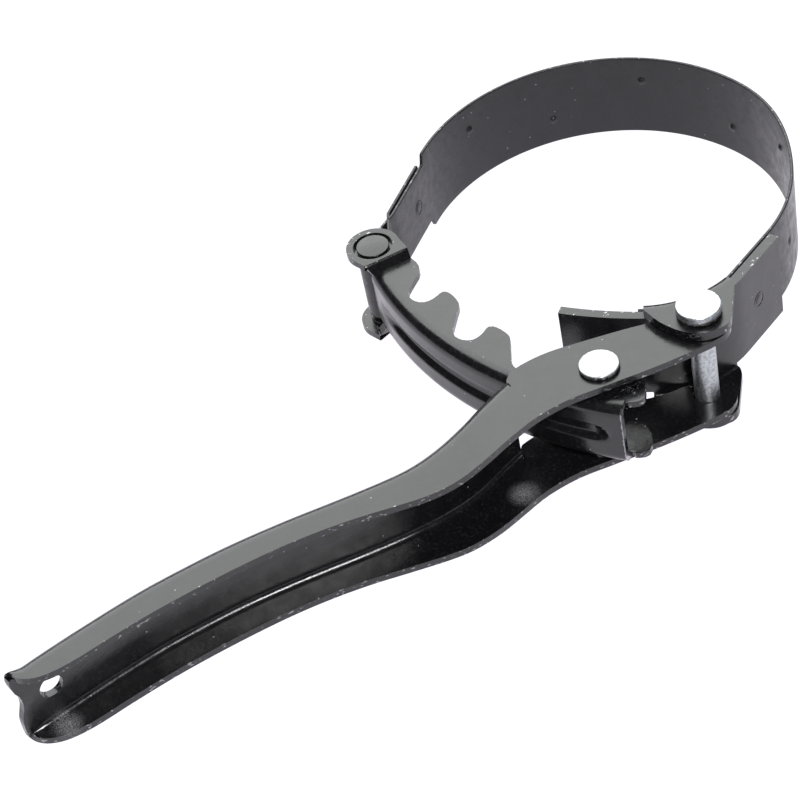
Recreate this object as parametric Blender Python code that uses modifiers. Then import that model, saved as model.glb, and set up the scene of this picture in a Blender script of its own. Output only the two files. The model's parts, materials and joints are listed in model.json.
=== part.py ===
"""Oil filter wrench: a steel band loop, a toothed adjusting rack and a pivoted channel handle.

Lengths are written in millimetres and turned into metres when a mesh is made. The design is laid
out around the pivot rivet: its axis is x = y = 0 and the middle of the band's height is z = 0.
The handle runs towards -X and the filter loop lies on the +Y side.
"""

import bpy
import bmesh
from math import asin, atan2, cos, degrees, hypot, pi, radians, sin
from mathutils import Matrix

MM = 0.001
GAP = 0.3                        # air kept between neighbouring pieces
CUT_REACH = 20.0                 # cutters reach this far from the middle, past every face
MERGE = 0.00001                  # metres, for modifiers that join matching vertices
SHARP_ANGLE = 35.0               # edges steeper than this stay crisp, degrees

# ---- where the pivot axis stands in the part's own frame --------------------------------------
PIVOT_AT = (63.04, -51.2, 18.4)  # puts the origin under the middle of the whole wrench

# ---- band --------------------------------------------------------------------------------------
BAND_CENTRE = (9.1, 64.2)
BAND_RADIUS = 50.6               # to the middle of the strip
BAND_THICK = 0.9
LOOP_FLAT = 1.3                  # how much the loop is flattened, and where, degrees
LOOP_FLAT_AT = -27.0
LOOP_FLAT_SPAN = 36.5
BAND_HALF = 12.5                 # half of the strip's width
FLEX_ANGLE = 60.0                # where the loop is taken to bend, degrees round its centre
TONGUE_ANGLE = 131.3             # where the loop becomes the straight tongue
TONGUE_HALF = 9.5
TONGUE_STEP = 1.4                # length of the shoulder between strip and tongue
TONGUE_RUN = 22.0                # straight stretch before the layers part round the hinge rivet
EYE_RADIUS = 4.0                 # to the middle of the strip where it wraps the hinge rivet
LAYER_PITCH = 1.3                # from the strip's middle to the folded layer's middle
FOLD_END = 2.0                   # the folded layer stops this far from the loop
TAIL_ANGLE = 296.5               # where the loop runs straight along the bracket's tail

# ---- bracket (shoe) ----------------------------------------------------------------------------
PLATE_THICK = 2.5
SHOE_RADIUS = 24.9               # inner face behind the ears
SHOE_TURN = 63.5                 # angle between the tail and the pad, degrees
TAIL_LENGTH = 17.8
TAIL_TRIM = 0.9                  # the plate stops this much short of the tangent point
PAD_RADIUS = 100.0
PAD_LENGTH = 19.3
EAR_INNER = 13.6                 # half of the gap between the ears
EAR_THICK = 2.5
EAR_FROM = 237.1                 # where the ears start and end round the shoe's arc, degrees
EAR_TO = 286.1
EAR_OUTLINE = ((-10.1, 7.5), (-9.8, 4.6), (-9.0, 1.4), (-7.8, -1.6), (-6.4, -3.9), (-4.8, -5.6),
               (-3.0, -6.9), (-1.0, -7.6), (2.8, -7.7), (4.2, -7.1), (5.4, -5.9), (12.0, 3.2),
               (12.7, 4.9))
EAR_BEND = 3.0                   # outside radius where the ears leave the plate
EAR_COLUMNS = 14                 # strips the plate is built from, behind the ears and along the pad
PAD_COLUMNS = 5
PLATE_SIDE = -1.0                # the plate's thickness lies outside its filter-side face

# ---- handle ------------------------------------------------------------------------------------
SHEET = 2.3
GRIP_HALF = 11.5
CHEEK_HALF = 13.3
FLARE_FROM = -84.0
FLARE_TO = -57.0
WEB_END = -48.5
WEB_CORNER = 3.0                 # length over which the cheeks reach their full width
BEND_RADIUS = 3.2
FRONT_EDGE = ((-185.0, -4.0), (-184.0, -6.2), (-181.6, -8.6), (-177.6, -10.1), (-171.0, -10.2),
              (-160.0, -8.6), (-148.0, -7.1), (-134.0, -6.2), (-119.0, -6.0), (-108.0, -6.7),
              (-98.0, -8.1), (-88.0, -10.2), (-80.0, -11.7), (-73.0, -12.0), (-65.0, -10.5),
              (-57.0, -8.0), (-49.0, -5.7), (-40.0, -4.9), (-30.0, -5.9), (-18.0, -7.3),
              (-7.0, -8.0), (1.4, -7.8), (4.6, -6.2), (6.6, -3.2), (7.2, -0.6))
BACK_EDGE = ((-185.0, -3.8), (-176.0, -1.8), (-164.0, 0.4), (-150.0, 2.5), (-138.0, 3.4),
             (-126.0, 3.7), (-112.0, 3.1), (-96.0, 1.7), (-84.0, 1.0), (-77.0, 1.3),
             (-70.0, 2.6), (-63.0, 4.9), (-57.0, 7.6), (-52.0, 9.7), (-47.0, 11.5),
             (-42.0, 12.5), (-35.0, 12.4), (-26.0, 10.6), (-16.0, 8.3), (-8.0, 6.2),
             (-1.0, 5.4), (3.4, 4.3), (6.4, 1.8), (7.2, 0.2))
HANG_HOLE = 6.0
HANG_HOLE_X = -176.0

# ---- rack --------------------------------------------------------------------------------------
RACK_CENTRE = (46.0, 57.9)
RACK_RADIUS = 102.7              # outer face of the web
RACK_SHEET = 1.8
RACK_HALF = 9.5
RACK_BEND = 2.4                  # outside radius between web and flanges
RACK_START = 172.8               # angles round RACK_CENTRE, degrees
RACK_END = 222.6                 # the web ends here, the last teeth reach past it
CHANNEL_MARGIN = 6.0             # the hollow is cut this many degrees past both ends
CHANNEL_INNER = 80.0
NOTCH_FIRST = 184.3              # steep wall of the first notch
NOTCH_PITCH = 12.0
NOTCHES = 4
TOOTH_TIP = 89.3
FIRST_TOOTH = 91.2               # the flange before the first notch is cut back to this radius
TOOTH_FORM = ((91.0, 0.0), (89.8, 0.5), (89.3, 1.4), (89.4, 3.0), (90.6, 4.3), (97.2, 8.0),
              (98.3, 9.7), (97.9, 10.7), (96.9, 11.5), (95.6, 12.0))
EAR_HALF = 12.2                  # outer faces of the rack's ears
EAR_ROUND = 7.0
JOGGLE = 1.2                     # thickness of the step up to the ears
JOGGLE_AT = 70.0
EAR_SIDE = (-57.3, -45.0)        # the ears' edges where they meet the step
HINGE_AT = (-52.0, 76.0)
LATCH_AT = (-27.8, 0.5)

# ---- rivets ------------------------------------------------------------------------------------
RIVET = 6.3                      # shank of the pivot and latch rivets
PIVOT_HEAD = 11.2
PIVOT_HEAD_HIGH = 2.6
PIVOT_TAIL = 10.0
PIVOT_TAIL_HIGH = 2.0
LATCH_HEAD = 10.0
LATCH_HEAD_HIGH = 1.1
HINGE_SHANK = 6.4
HINGE_HEAD = 9.0
HINGE_HEAD_HIGH = 1.0
CLINCH = 3.2
CLINCH_HEAD = 4.4
CLINCH_HIGH = 0.5
BAND_RIVET_AT = 11.5             # along the tail plate from its free end
TONGUE_RIVET_AT = 8.0            # along the tongue from the loop

# name: (colour, metallic, roughness)
FINISHES = {
    "black_paint": ((0.016, 0.016, 0.018, 1.0), 0.0, 0.32),
    "spring_steel": ((0.030, 0.029, 0.033, 1.0), 0.3, 0.42),
    "zinc": ((0.72, 0.73, 0.74, 1.0), 1.0, 0.28),
}


def clear_scene():
    for obj in list(bpy.data.objects):
        bpy.data.objects.remove(obj, do_unlink=True)


def make_collections():
    parts = bpy.data.collections.new("oil_filter_wrench")
    cutters = bpy.data.collections.new("cutters")
    for group in (parts, cutters):
        bpy.context.scene.collection.children.link(group)
    return parts, cutters


def finish(name):
    colour, metallic, roughness = FINISHES[name]
    material = bpy.data.materials.new(name)
    material.use_nodes = True
    shader = material.node_tree.nodes["Principled BSDF"]
    shader.inputs["Base Color"].default_value = colour
    shader.inputs["Metallic"].default_value = metallic
    shader.inputs["Roughness"].default_value = roughness
    material.diffuse_color = colour
    return material


# ---- plan geometry -----------------------------------------------------------------------------

def polar(centre, radius, angle):
    """Point at a distance from a centre, in a direction given in degrees from +X."""
    return (centre[0] + radius * cos(radians(angle)), centre[1] + radius * sin(radians(angle)))


def along(point, angle, distance):
    return polar(point, distance, angle)


def loop_arc(start, end):
    """Stretch of the band's loop, slightly flatter than a circle before the bracket's tail."""
    count = max(2, int(abs(end - start) / 5.0) + 1)
    points = []
    for i in range(count + 1):
        angle = start + (end - start) * i / count
        away = max(0.0, 1.0 - abs(angle - LOOP_FLAT_AT) / LOOP_FLAT_SPAN)
        radius = BAND_RADIUS - LOOP_FLAT * away * away * (3.0 - 2.0 * away)
        points.append(polar(BAND_CENTRE, radius, angle))
    return points


def arc(centre, radius, start, end, step=5.0):
    count = max(2, int(abs(end - start) / step) + 1)
    return [polar(centre, radius, start + (end - start) * i / count) for i in range(count + 1)]


def curve_y(stations, x):
    """Height of the smooth curve through the stations at x (Catmull-Rom tangents)."""
    last = len(stations) - 2
    i = 0
    while i < last and stations[i + 1][0] < x:
        i += 1
    x0, y0 = stations[i]
    x1, y1 = stations[i + 1]
    before = stations[max(i - 1, 0)]
    after = stations[min(i + 2, len(stations) - 1)]
    span = x1 - x0
    slope0 = (y1 - before[1]) / (x1 - before[0])
    slope1 = (after[1] - y0) / (after[0] - x0)
    t = (x - x0) / span
    return ((2 * t ** 3 - 3 * t ** 2 + 1) * y0 + (t ** 3 - 2 * t ** 2 + t) * span * slope0
            + (3 * t ** 2 - 2 * t ** 3) * y1 + (t ** 3 - t ** 2) * span * slope1)


def smooth_step(value, low, high):
    t = min(1.0, max(0.0, (value - low) / (high - low)))
    return t * t * (3 - 2 * t)


# ---- mesh helpers ------------------------------------------------------------------------------

def link(obj, group):
    group.objects.link(obj)
    return obj


def place(obj, origin):
    """Stand an object whose mesh is in wrench coordinates on its own origin in the part's frame."""
    shift = Matrix.Translation((-origin[0] * MM, -origin[1] * MM, 0.0))
    obj.data.transform(shift)
    obj.location = ((PIVOT_AT[0] + origin[0]) * MM, (PIVOT_AT[1] + origin[1]) * MM,
                    PIVOT_AT[2] * MM)


def prism(name, outline, low, high, group):
    """Solid between two heights with the given plan outline, from a filled 2D curve."""
    curve = bpy.data.curves.new(name + "_outline", "CURVE")
    curve.dimensions = "2D"
    curve.fill_mode = "BOTH"
    curve.extrude = (high - low) / 2 * MM
    spline = curve.splines.new("POLY")
    spline.points.add(len(outline) - 1)
    for point, (x, y) in zip(spline.points, outline):
        point.co = (x * MM, y * MM, 0.0, 1.0)
    spline.use_cyclic_u = True
    source = link(bpy.data.objects.new(name + "_outline", curve), group)
    source.location.z = (high + low) / 2 * MM
    bpy.context.view_layer.update()
    evaluated = source.evaluated_get(bpy.context.evaluated_depsgraph_get())
    mesh = bpy.data.meshes.new_from_object(evaluated)
    mesh.transform(source.matrix_world)
    bpy.data.objects.remove(source, do_unlink=True)
    body = bmesh.new()
    body.from_mesh(mesh)
    bmesh.ops.remove_doubles(body, verts=body.verts, dist=1e-6)
    bmesh.ops.recalc_face_normals(body, faces=body.faces)
    body.to_mesh(mesh)
    body.free()
    return link(bpy.data.objects.new(name, mesh), group)


def cylinder(name, x, y, low, high, diameter, group, sides=32):
    body = bmesh.new()
    middle = Matrix.Translation((x * MM, y * MM, (low + high) / 2 * MM))
    bmesh.ops.create_cone(body, cap_ends=True, segments=sides, radius1=diameter / 2 * MM,
                          radius2=diameter / 2 * MM, depth=(high - low) * MM, matrix=middle)
    mesh = bpy.data.meshes.new(name)
    body.to_mesh(mesh)
    body.free()
    return link(bpy.data.objects.new(name, mesh), group)


def ribbon(name, stations, thick, group):
    """Upright strip through plan stations (x, y, half height), thickened to both sides."""
    body = bmesh.new()
    rows = []
    for x, y, half in stations:
        low = body.verts.new((x * MM, y * MM, -half * MM))
        high = body.verts.new((x * MM, y * MM, half * MM))
        rows.append((low, high))
    for (low0, high0), (low1, high1) in zip(rows, rows[1:]):
        body.faces.new((low0, low1, high1, high0))
    mesh = bpy.data.meshes.new(name)
    body.to_mesh(mesh)
    body.free()
    obj = link(bpy.data.objects.new(name, mesh), group)
    solid = obj.modifiers.new("thickness", "SOLIDIFY")
    solid.thickness = thick * MM
    solid.offset = 0.0
    solid.use_even_offset = True
    return obj


def boolean(obj, tool, operation):
    tool.hide_render = True
    tool.display_type = "WIRE"
    modifier = obj.modifiers.new(tool.name, "BOOLEAN")
    modifier.operation = operation
    modifier.object = tool


def bake(obj, group):
    """Replace an object by its evaluated mesh, so that it can be placed and cut further."""
    bpy.context.view_layer.update()
    evaluated = obj.evaluated_get(bpy.context.evaluated_depsgraph_get())
    mesh = bpy.data.meshes.new_from_object(evaluated)
    name = obj.name
    tools = [m.object for m in obj.modifiers if m.type == "BOOLEAN"]
    bpy.data.objects.remove(obj, do_unlink=True)
    for tool in tools:
        bpy.data.objects.remove(tool, do_unlink=True)
    return link(bpy.data.objects.new(name, mesh), group)


def smooth(obj):
    obj.data.shade_smooth()
    obj.data.set_sharp_from_angle(angle=radians(SHARP_ANGLE))


# ---- band --------------------------------------------------------------------------------------

def tongue_line():
    """Start, direction and outward normal of the straight tongue."""
    start = polar(BAND_CENTRE, BAND_RADIUS, TONGUE_ANGLE)
    return start, TONGUE_ANGLE + 90.0, TONGUE_ANGLE


def tangent_to_eye(point, side):
    """Angle round the hinge axis where a line from point touches the eye, on side +1 or -1."""
    dx = point[0] - HINGE_AT[0]
    dy = point[1] - HINGE_AT[1]
    distance = hypot(dx, dy)
    opening = pi / 2 - asin(EYE_RADIUS / distance)
    return degrees(atan2(dy, dx) + side * opening)


def free_half_path():
    """From the bend in the loop round to the tongue, round the hinge rivet and back."""
    flex_gap = degrees(GAP / 2 / BAND_RADIUS)
    loop = loop_arc(FLEX_ANGLE + flex_gap, TONGUE_ANGLE)
    stations = [(x, y, BAND_HALF) for x, y in loop]
    start, heading, outward = tongue_line()
    shoulder = along(start, heading, TONGUE_STEP)
    parting = along(start, heading, TONGUE_RUN)
    stations += [(*shoulder, TONGUE_HALF), (*parting, TONGUE_HALF)]
    inner = tangent_to_eye(parting, 1)
    parting_back = along(parting, outward, LAYER_PITCH)
    outer = tangent_to_eye(parting_back, -1)
    while outer < inner:
        outer += 360.0
    stations += [(x, y, TONGUE_HALF) for x, y in arc(HINGE_AT, EYE_RADIUS, inner, outer, 20.0)]
    fold_end = along(along(start, heading, FOLD_END), outward, LAYER_PITCH)
    stations += [(*parting_back, TONGUE_HALF), (*fold_end, TONGUE_HALF)]
    return stations


def shoe_arc(offset):
    """Centre, radius and end angles of the arc behind the ears, offset towards the filter."""
    tail_start = polar(BAND_CENTRE, BAND_RADIUS + BAND_THICK / 2 + GAP, TAIL_ANGLE)
    corner = along(tail_start, TAIL_ANGLE - 90.0, TAIL_LENGTH)
    centre = along(corner, TAIL_ANGLE + 180.0, SHOE_RADIUS)
    return centre, SHOE_RADIUS - offset, TAIL_ANGLE, TAIL_ANGLE - SHOE_TURN


def fixed_half_path():
    """From the end behind the ears, along the tail plate and round the loop to the bend."""
    inset = GAP + BAND_THICK / 2
    centre, radius, start, end = shoe_arc(inset)
    seat = arc(centre, radius, end, start)
    flex_gap = degrees(GAP / 2 / BAND_RADIUS)
    loop = loop_arc(TAIL_ANGLE - 360.0, FLEX_ANGLE - flex_gap)
    return [(x, y, BAND_HALF) for x, y in seat + loop]


def make_band(parts):
    fixed = ribbon("band_fixed_half", fixed_half_path(), BAND_THICK, parts)
    free = ribbon("band_free_half", free_half_path(), BAND_THICK, parts)
    return fixed, free


# ---- bracket -----------------------------------------------------------------------------------

def bracket_columns():
    """Plan points of the plate's filter-side face, each with its outward direction in degrees and
    a flag that says whether the ears rise from it."""
    tail_start = polar(BAND_CENTRE, BAND_RADIUS + BAND_THICK / 2 + GAP, TAIL_ANGLE)
    centre, radius, start, end = shoe_arc(0.0)
    columns = [(along(tail_start, TAIL_ANGLE - 90.0, TAIL_TRIM), TAIL_ANGLE, False)]
    columns.append((along(tail_start, TAIL_ANGLE - 90.0, TAIL_LENGTH * 0.5), TAIL_ANGLE, False))
    columns.append((polar(centre, radius, start), start, False))
    for i in range(EAR_COLUMNS + 1):
        angle = EAR_TO + (EAR_FROM - EAR_TO) * i / EAR_COLUMNS
        columns.append((polar(centre, radius, angle), angle, True))
    pad_centre = along(centre, end, SHOE_RADIUS - PAD_RADIUS)
    pad_turn = degrees(PAD_LENGTH / PAD_RADIUS)
    for i in range(PAD_COLUMNS + 1):
        angle = end - pad_turn * i / PAD_COLUMNS
        columns.append((polar(pad_centre, PAD_RADIUS, angle), angle, False))
    return columns


def outline_point(outline, share):
    """Point at a share of an open outline's length."""
    lengths = [hypot(b[0] - a[0], b[1] - a[1]) for a, b in zip(outline, outline[1:])]
    wanted = share * sum(lengths)
    for (a, b), length in zip(zip(outline, outline[1:]), lengths):
        if wanted <= length + 1e-9:
            t = wanted / length
            return (a[0] + (b[0] - a[0]) * t, a[1] + (b[1] - a[1]) * t)
        wanted -= length
    return outline[-1]


def bracket_rise(point, outward, edge):
    """One column of the ear above the plate: up the bend and out to the ear's edge."""
    top = EAR_INNER + EAR_THICK
    rise = [(*point, top - EAR_BEND)]
    for i in range(1, 5):
        turn = pi / 2 * i / 4
        foot = along(point, outward, EAR_BEND * (1 - cos(turn)))
        rise.append((*foot, top - EAR_BEND + EAR_BEND * sin(turn)))
    foot = along(point, outward, EAR_BEND)
    for share in (0.35, 0.7, 1.0):
        rise.append((foot[0] + (edge[0] - foot[0]) * share, foot[1] + (edge[1] - foot[1]) * share,
                     top))
    return rise


def make_bracket(parts, cutters):
    body = bmesh.new()
    columns = bracket_columns()
    ears = [i for i, column in enumerate(columns) if column[2]]
    first, last = (along(*columns[i][:2], EAR_BEND + GAP) for i in (ears[0], ears[-1]))
    edge_line = [first, *EAR_OUTLINE[::-1], last]
    rows = []
    for i, (point, outward, has_ear) in enumerate(columns):
        heights = [(*point, 0.0), (*point, BAND_HALF)]
        if has_ear:
            share = (i - ears[0]) / (len(ears) - 1)
            heights += bracket_rise(point, outward, outline_point(edge_line, share))
        rows.append([body.verts.new((x * MM, y * MM, z * MM)) for x, y, z in heights])
    for row0, row1 in zip(rows, rows[1:]):
        for j in range(min(len(row0), len(row1)) - 1):
            body.faces.new((row0[j], row0[j + 1], row1[j + 1], row1[j]))
    bmesh.ops.recalc_face_normals(body, faces=body.faces)
    mesh = bpy.data.meshes.new("bracket")
    body.to_mesh(mesh)
    body.free()
    bracket = link(bpy.data.objects.new("bracket", mesh), parts)
    mirror = bracket.modifiers.new("lower_half", "MIRROR")
    mirror.use_axis = (False, False, True)
    mirror.merge_threshold = MERGE
    solid = bracket.modifiers.new("plate", "SOLIDIFY")
    solid.thickness = PLATE_THICK * MM
    solid.offset = PLATE_SIDE
    solid.use_even_offset = True
    hole = cylinder("pivot_hole", 0.0, 0.0, -CUT_REACH, CUT_REACH, RIVET + 2 * GAP, cutters)
    boolean(bracket, hole, "DIFFERENCE")
    return bake(bracket, parts)


# ---- handle ------------------------------------------------------------------------------------

def handle_stations():
    stations = [-185.0, -184.7, -184.0, -183.0, -181.6, -179.8, -177.6, -174.0]
    x = -170.0
    while x < -60.0:
        stations.append(x)
        x += 5.0
    stations += [-60.0, -57.0, -54.0, -51.0, WEB_END, WEB_END + 1.2, -45.5, -42.0, -38.0, -33.0,
                 -28.0, -23.0, -18.0, -13.0, -8.0, -4.0, -1.0, 1.4, 3.4, 4.6, 5.6, 6.6, 7.2]
    return stations


def handle_section(x):
    """Outer profile of the top half at x: flange edge, bend and the web down to mid height."""
    half = GRIP_HALF + (CHEEK_HALF - GRIP_HALF) * smooth_step(x, FLARE_FROM, FLARE_TO)
    front = curve_y(FRONT_EDGE, x)
    back = curve_y(BACK_EDGE, x)
    bend = min(BEND_RADIUS, (back - front) * 0.6)
    points = [(front, half), ((front + back - bend) / 2, half), (back - bend, half)]
    for i in range(1, 5):
        angle = pi / 2 * i / 4
        if x > WEB_END:
            grown = min(1.0, (x - WEB_END) / WEB_CORNER)
            points.append((back - bend + bend * grown * i / 4, half))
        else:
            points.append((back - bend + bend * sin(angle), half - bend + bend * cos(angle)))
    points.append((back, 0.0))
    return points


def make_handle(parts, cutters):
    body = bmesh.new()
    rows = []
    for x in handle_stations():
        rows.append([body.verts.new((x * MM, y * MM, z * MM)) for y, z in handle_section(x)])
    flange_columns = 2
    bend_columns = 4
    for i, (row0, row1) in enumerate(zip(rows, rows[1:])):
        open_back = row1[0].co.x > (WEB_END + 0.1) * MM
        crossing = open_back and row0[0].co.x < (WEB_END + 0.1) * MM
        columns = len(row0) - 1
        if open_back:
            columns = flange_columns + bend_columns
        if crossing:
            columns = flange_columns
        for j in range(columns):
            body.faces.new((row0[j], row1[j], row1[j + 1], row0[j + 1]))
    loose = [v for v in body.verts if not v.link_faces]
    bmesh.ops.delete(body, geom=loose, context="VERTS")
    mesh = bpy.data.meshes.new("handle")
    body.to_mesh(mesh)
    body.free()
    handle = link(bpy.data.objects.new("handle", mesh), parts)
    mirror = handle.modifiers.new("lower_half", "MIRROR")
    mirror.use_axis = (False, False, True)
    mirror.merge_threshold = MERGE
    solid = handle.modifiers.new("sheet", "SOLIDIFY")
    solid.thickness = SHEET * MM
    solid.offset = -1.0
    solid.use_even_offset = True
    for name, (x, y) in (("pivot_bore", (0.0, 0.0)), ("latch_bore", LATCH_AT)):
        bore = cylinder(name, x, y, -CUT_REACH, CUT_REACH, RIVET + 2 * GAP, cutters)
        boolean(handle, bore, "DIFFERENCE")
    hang = cylinder("hang_bore", 0.0, 0.0, -CUT_REACH, CUT_REACH, HANG_HOLE, cutters, sides=24)
    hang.data.transform(Matrix.Translation((HANG_HOLE_X * MM, 0.0, 0.0))
                        @ Matrix.Rotation(pi / 2, 4, "X"))
    boolean(handle, hang, "DIFFERENCE")
    return bake(handle, parts)


# ---- rack --------------------------------------------------------------------------------------

def rack_outline():
    """Flange outline: the web's arc, the rounded end and the hooked teeth back to the ears."""
    outer = arc(RACK_CENTRE, RACK_RADIUS, RACK_START, RACK_END, 3.0)
    last = NOTCH_FIRST + (NOTCHES - 1) * NOTCH_PITCH
    end = [(102.2, last + 3.3), (100.4, last + 4.5), (97.6, last + 4.9), (94.6, last + 4.7),
           (91.6, last + 3.9), (89.8, last + 2.8), (TOOTH_TIP, last + 1.4), (89.8, last + 0.4),
           (91.0, last)]
    inner = [polar(RACK_CENTRE, r, a) for r, a in end]
    for k in reversed(range(NOTCHES)):
        base = NOTCH_FIRST + (k - 1) * NOTCH_PITCH
        for radius, turn in reversed(TOOTH_FORM):
            if k == 0 and radius < FIRST_TOOTH:
                continue
            inner.append(polar(RACK_CENTRE, radius, base + turn))
    return outer + inner + [(-46.1, 62.3), (-45.6, 64.4), (-45.2, 71.0)]


def rack_ear_outline():
    crown = arc(HINGE_AT, EAR_ROUND, 0.0, 190.0, 15.0)
    return [(EAR_SIDE[1], JOGGLE_AT)] + crown + [(EAR_SIDE[0], JOGGLE_AT)]


def round_web_corners(rack):
    """Bevel the two long edges where the web meets the flanges."""
    body = bmesh.new()
    body.from_mesh(rack.data)
    corners = []
    for edge in body.edges:
        ends = [vert.co / MM for vert in edge.verts]
        radii = [hypot(p.x - RACK_CENTRE[0], p.y - RACK_CENTRE[1]) for p in ends]
        level = abs(ends[0].z - ends[1].z) < 0.01
        if level and min(radii) > RACK_RADIUS - 0.05:
            corners.append(edge)
    bmesh.ops.bevel(body, geom=corners, offset=RACK_BEND * MM, segments=3, profile=0.5,
                    affect="EDGES", clamp_overlap=False)
    body.to_mesh(rack.data)
    body.free()


def make_rack(parts, cutters):
    outline = rack_outline()
    rack = prism("toothed_rack", outline, -RACK_HALF, RACK_HALF, parts)
    round_web_corners(rack)
    inner_radius = RACK_RADIUS - RACK_SHEET
    before = RACK_START - CHANNEL_MARGIN
    beyond = RACK_END + CHANNEL_MARGIN
    past_web = RACK_RADIUS + RACK_SHEET
    channel = arc(RACK_CENTRE, inner_radius, before, RACK_END, 3.0)
    channel += [polar(RACK_CENTRE, past_web, RACK_END), polar(RACK_CENTRE, past_web, beyond)]
    channel += [polar(RACK_CENTRE, CHANNEL_INNER, angle) for angle in (beyond, before)]
    inner_half = RACK_HALF - RACK_SHEET
    hollow = prism("rack_channel", channel, -inner_half, inner_half, cutters)
    boolean(rack, hollow, "DIFFERENCE")
    rack = bake(rack, parts)
    ear_inner = EAR_HALF - RACK_SHEET
    step_wall = [(EAR_SIDE[0], JOGGLE_AT), (EAR_SIDE[1], JOGGLE_AT),
                 (EAR_SIDE[1], JOGGLE_AT + JOGGLE), (EAR_SIDE[0], JOGGLE_AT + JOGGLE)]
    for side in (-1, 1):
        low, high = sorted((side * ear_inner, side * EAR_HALF))
        ear = prism("rack_ear", rack_ear_outline(), low, high, cutters)
        boolean(rack, ear, "UNION")
        rack = bake(rack, parts)
        low, high = sorted((side * inner_half, side * (EAR_HALF - RACK_SHEET / 4)))
        wall = prism("joggle", step_wall, low, high, cutters)
        boolean(rack, wall, "UNION")
        rack = bake(rack, parts)
    bore = cylinder("hinge_bore", *HINGE_AT, -CUT_REACH, CUT_REACH, HINGE_SHANK + 2 * GAP, cutters)
    boolean(rack, bore, "DIFFERENCE")
    return bake(rack, parts)


# ---- rivets ------------------------------------------------------------------------------------

def make_rivet(name, x, y, shank, seat, heads, parts, cutters):
    """Rivet along Z: heads is ((diameter, height) below, (diameter, height) above)."""
    rivet = cylinder(name, x, y, -seat - heads[0][1] / 2, seat + heads[1][1] / 2, shank, parts)
    (low_size, low_high), (top_size, top_high) = heads
    for part_name, low, high, size in (("lower_head", -seat - low_high, -seat, low_size),
                                       ("upper_head", seat, seat + top_high, top_size)):
        head = cylinder(part_name, x, y, low, high, size, cutters, sides=40)
        boolean(rivet, head, "UNION")
        rivet = bake(rivet, parts)
    return rivet


def turn_towards(obj, point, angle):
    """Lay a rivet made along Z at the origin so that it points along a plan direction."""
    turn = Matrix.Rotation(radians(angle), 4, "Z") @ Matrix.Rotation(pi / 2, 4, "Y")
    obj.data.transform(Matrix.Translation((point[0] * MM, point[1] * MM, 0.0)) @ turn)


def make_clinch(name, point, angle, reach, parts, cutters):
    heads = ((CLINCH_HEAD, CLINCH_HIGH), (CLINCH_HEAD, CLINCH_HIGH))
    rivet = make_rivet(name, 0.0, 0.0, CLINCH, reach, heads, parts, cutters)
    turn_towards(rivet, point, angle)
    return rivet


def drill(obj, point, angle, parts, cutters):
    """Cut the hole for a clinch rivet through the layers at a plan point."""
    bore = cylinder("clinch_bore", 0.0, 0.0, -CLINCH, CLINCH, CLINCH + 2 * GAP, cutters, sides=24)
    turn_towards(bore, point, angle)
    boolean(obj, bore, "DIFFERENCE")
    return bake(obj, parts)


def main():
    clear_scene()
    parts, cutters = make_collections()
    paint = finish("black_paint")
    steel = finish("spring_steel")
    zinc = finish("zinc")

    fixed_half, free_half = make_band(parts)
    bracket = make_bracket(parts, cutters)
    handle = make_handle(parts, cutters)
    rack = make_rack(parts, cutters)

    pivot_heads = ((PIVOT_TAIL, PIVOT_TAIL_HIGH), (PIVOT_HEAD, PIVOT_HEAD_HIGH))
    pivot = make_rivet("pivot_rivet", 0.0, 0.0, RIVET, EAR_INNER + EAR_THICK + GAP, pivot_heads,
                       parts, cutters)
    latch_heads = ((LATCH_HEAD, LATCH_HEAD_HIGH), (LATCH_HEAD, LATCH_HEAD_HIGH))
    latch = make_rivet("latch_rivet", *LATCH_AT, RIVET, CHEEK_HALF + GAP, latch_heads,
                       parts, cutters)
    hinge_heads = ((HINGE_HEAD, HINGE_HEAD_HIGH), (HINGE_HEAD, HINGE_HEAD_HIGH))
    hinge = make_rivet("hinge_rivet", *HINGE_AT, HINGE_SHANK, EAR_HALF + GAP, hinge_heads,
                       parts, cutters)

    start, heading, outward = tongue_line()
    fold_middle = along(along(start, heading, TONGUE_RIVET_AT), outward, LAYER_PITCH / 2)
    fold_reach = LAYER_PITCH / 2 + BAND_THICK / 2 + GAP
    tongue_rivet = make_clinch("tongue_rivet", fold_middle, outward, fold_reach, parts, cutters)
    free_half = drill(free_half, fold_middle, outward, parts, cutters)

    tail_start = polar(BAND_CENTRE, BAND_RADIUS, TAIL_ANGLE)
    on_band = along(tail_start, TAIL_ANGLE - 90.0, BAND_RIVET_AT)
    stack = BAND_THICK + GAP + PLATE_THICK
    joint_middle = along(on_band, TAIL_ANGLE, (stack - BAND_THICK) / 2)
    band_rivet = make_clinch("band_rivet", joint_middle, TAIL_ANGLE, stack / 2 + GAP, parts, cutters)
    bracket = drill(bracket, joint_middle, TAIL_ANGLE, parts, cutters)
    fixed_half = drill(fixed_half, joint_middle, TAIL_ANGLE, parts, cutters)

    flex = polar(BAND_CENTRE, BAND_RADIUS, FLEX_ANGLE)
    pivot_axis = (0.0, 0.0)
    for obj, material, origin in (
            (bracket, paint, pivot_axis), (fixed_half, steel, pivot_axis), (pivot, zinc, pivot_axis),
            (band_rivet, paint, pivot_axis), (handle, paint, pivot_axis), (latch, zinc, pivot_axis),
            (free_half, steel, flex), (tongue_rivet, steel, flex),
            (rack, paint, HINGE_AT), (hinge, paint, HINGE_AT)):
        obj.data.materials.clear()
        obj.data.materials.append(material)
        place(obj, origin)
        smooth(obj)


main()
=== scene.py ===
"""Oil filter wrench: the detailed pieces, their finishes, the light and the camera.

Pieces are laid out in millimetres around the pivot rivet's axis at half height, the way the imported
model is, and turned into metres in the frame's own coordinates when they are placed.
"""

import json
from math import asin, atan2, cos, degrees, exp, hypot, pi, radians, sin, sqrt

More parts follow.
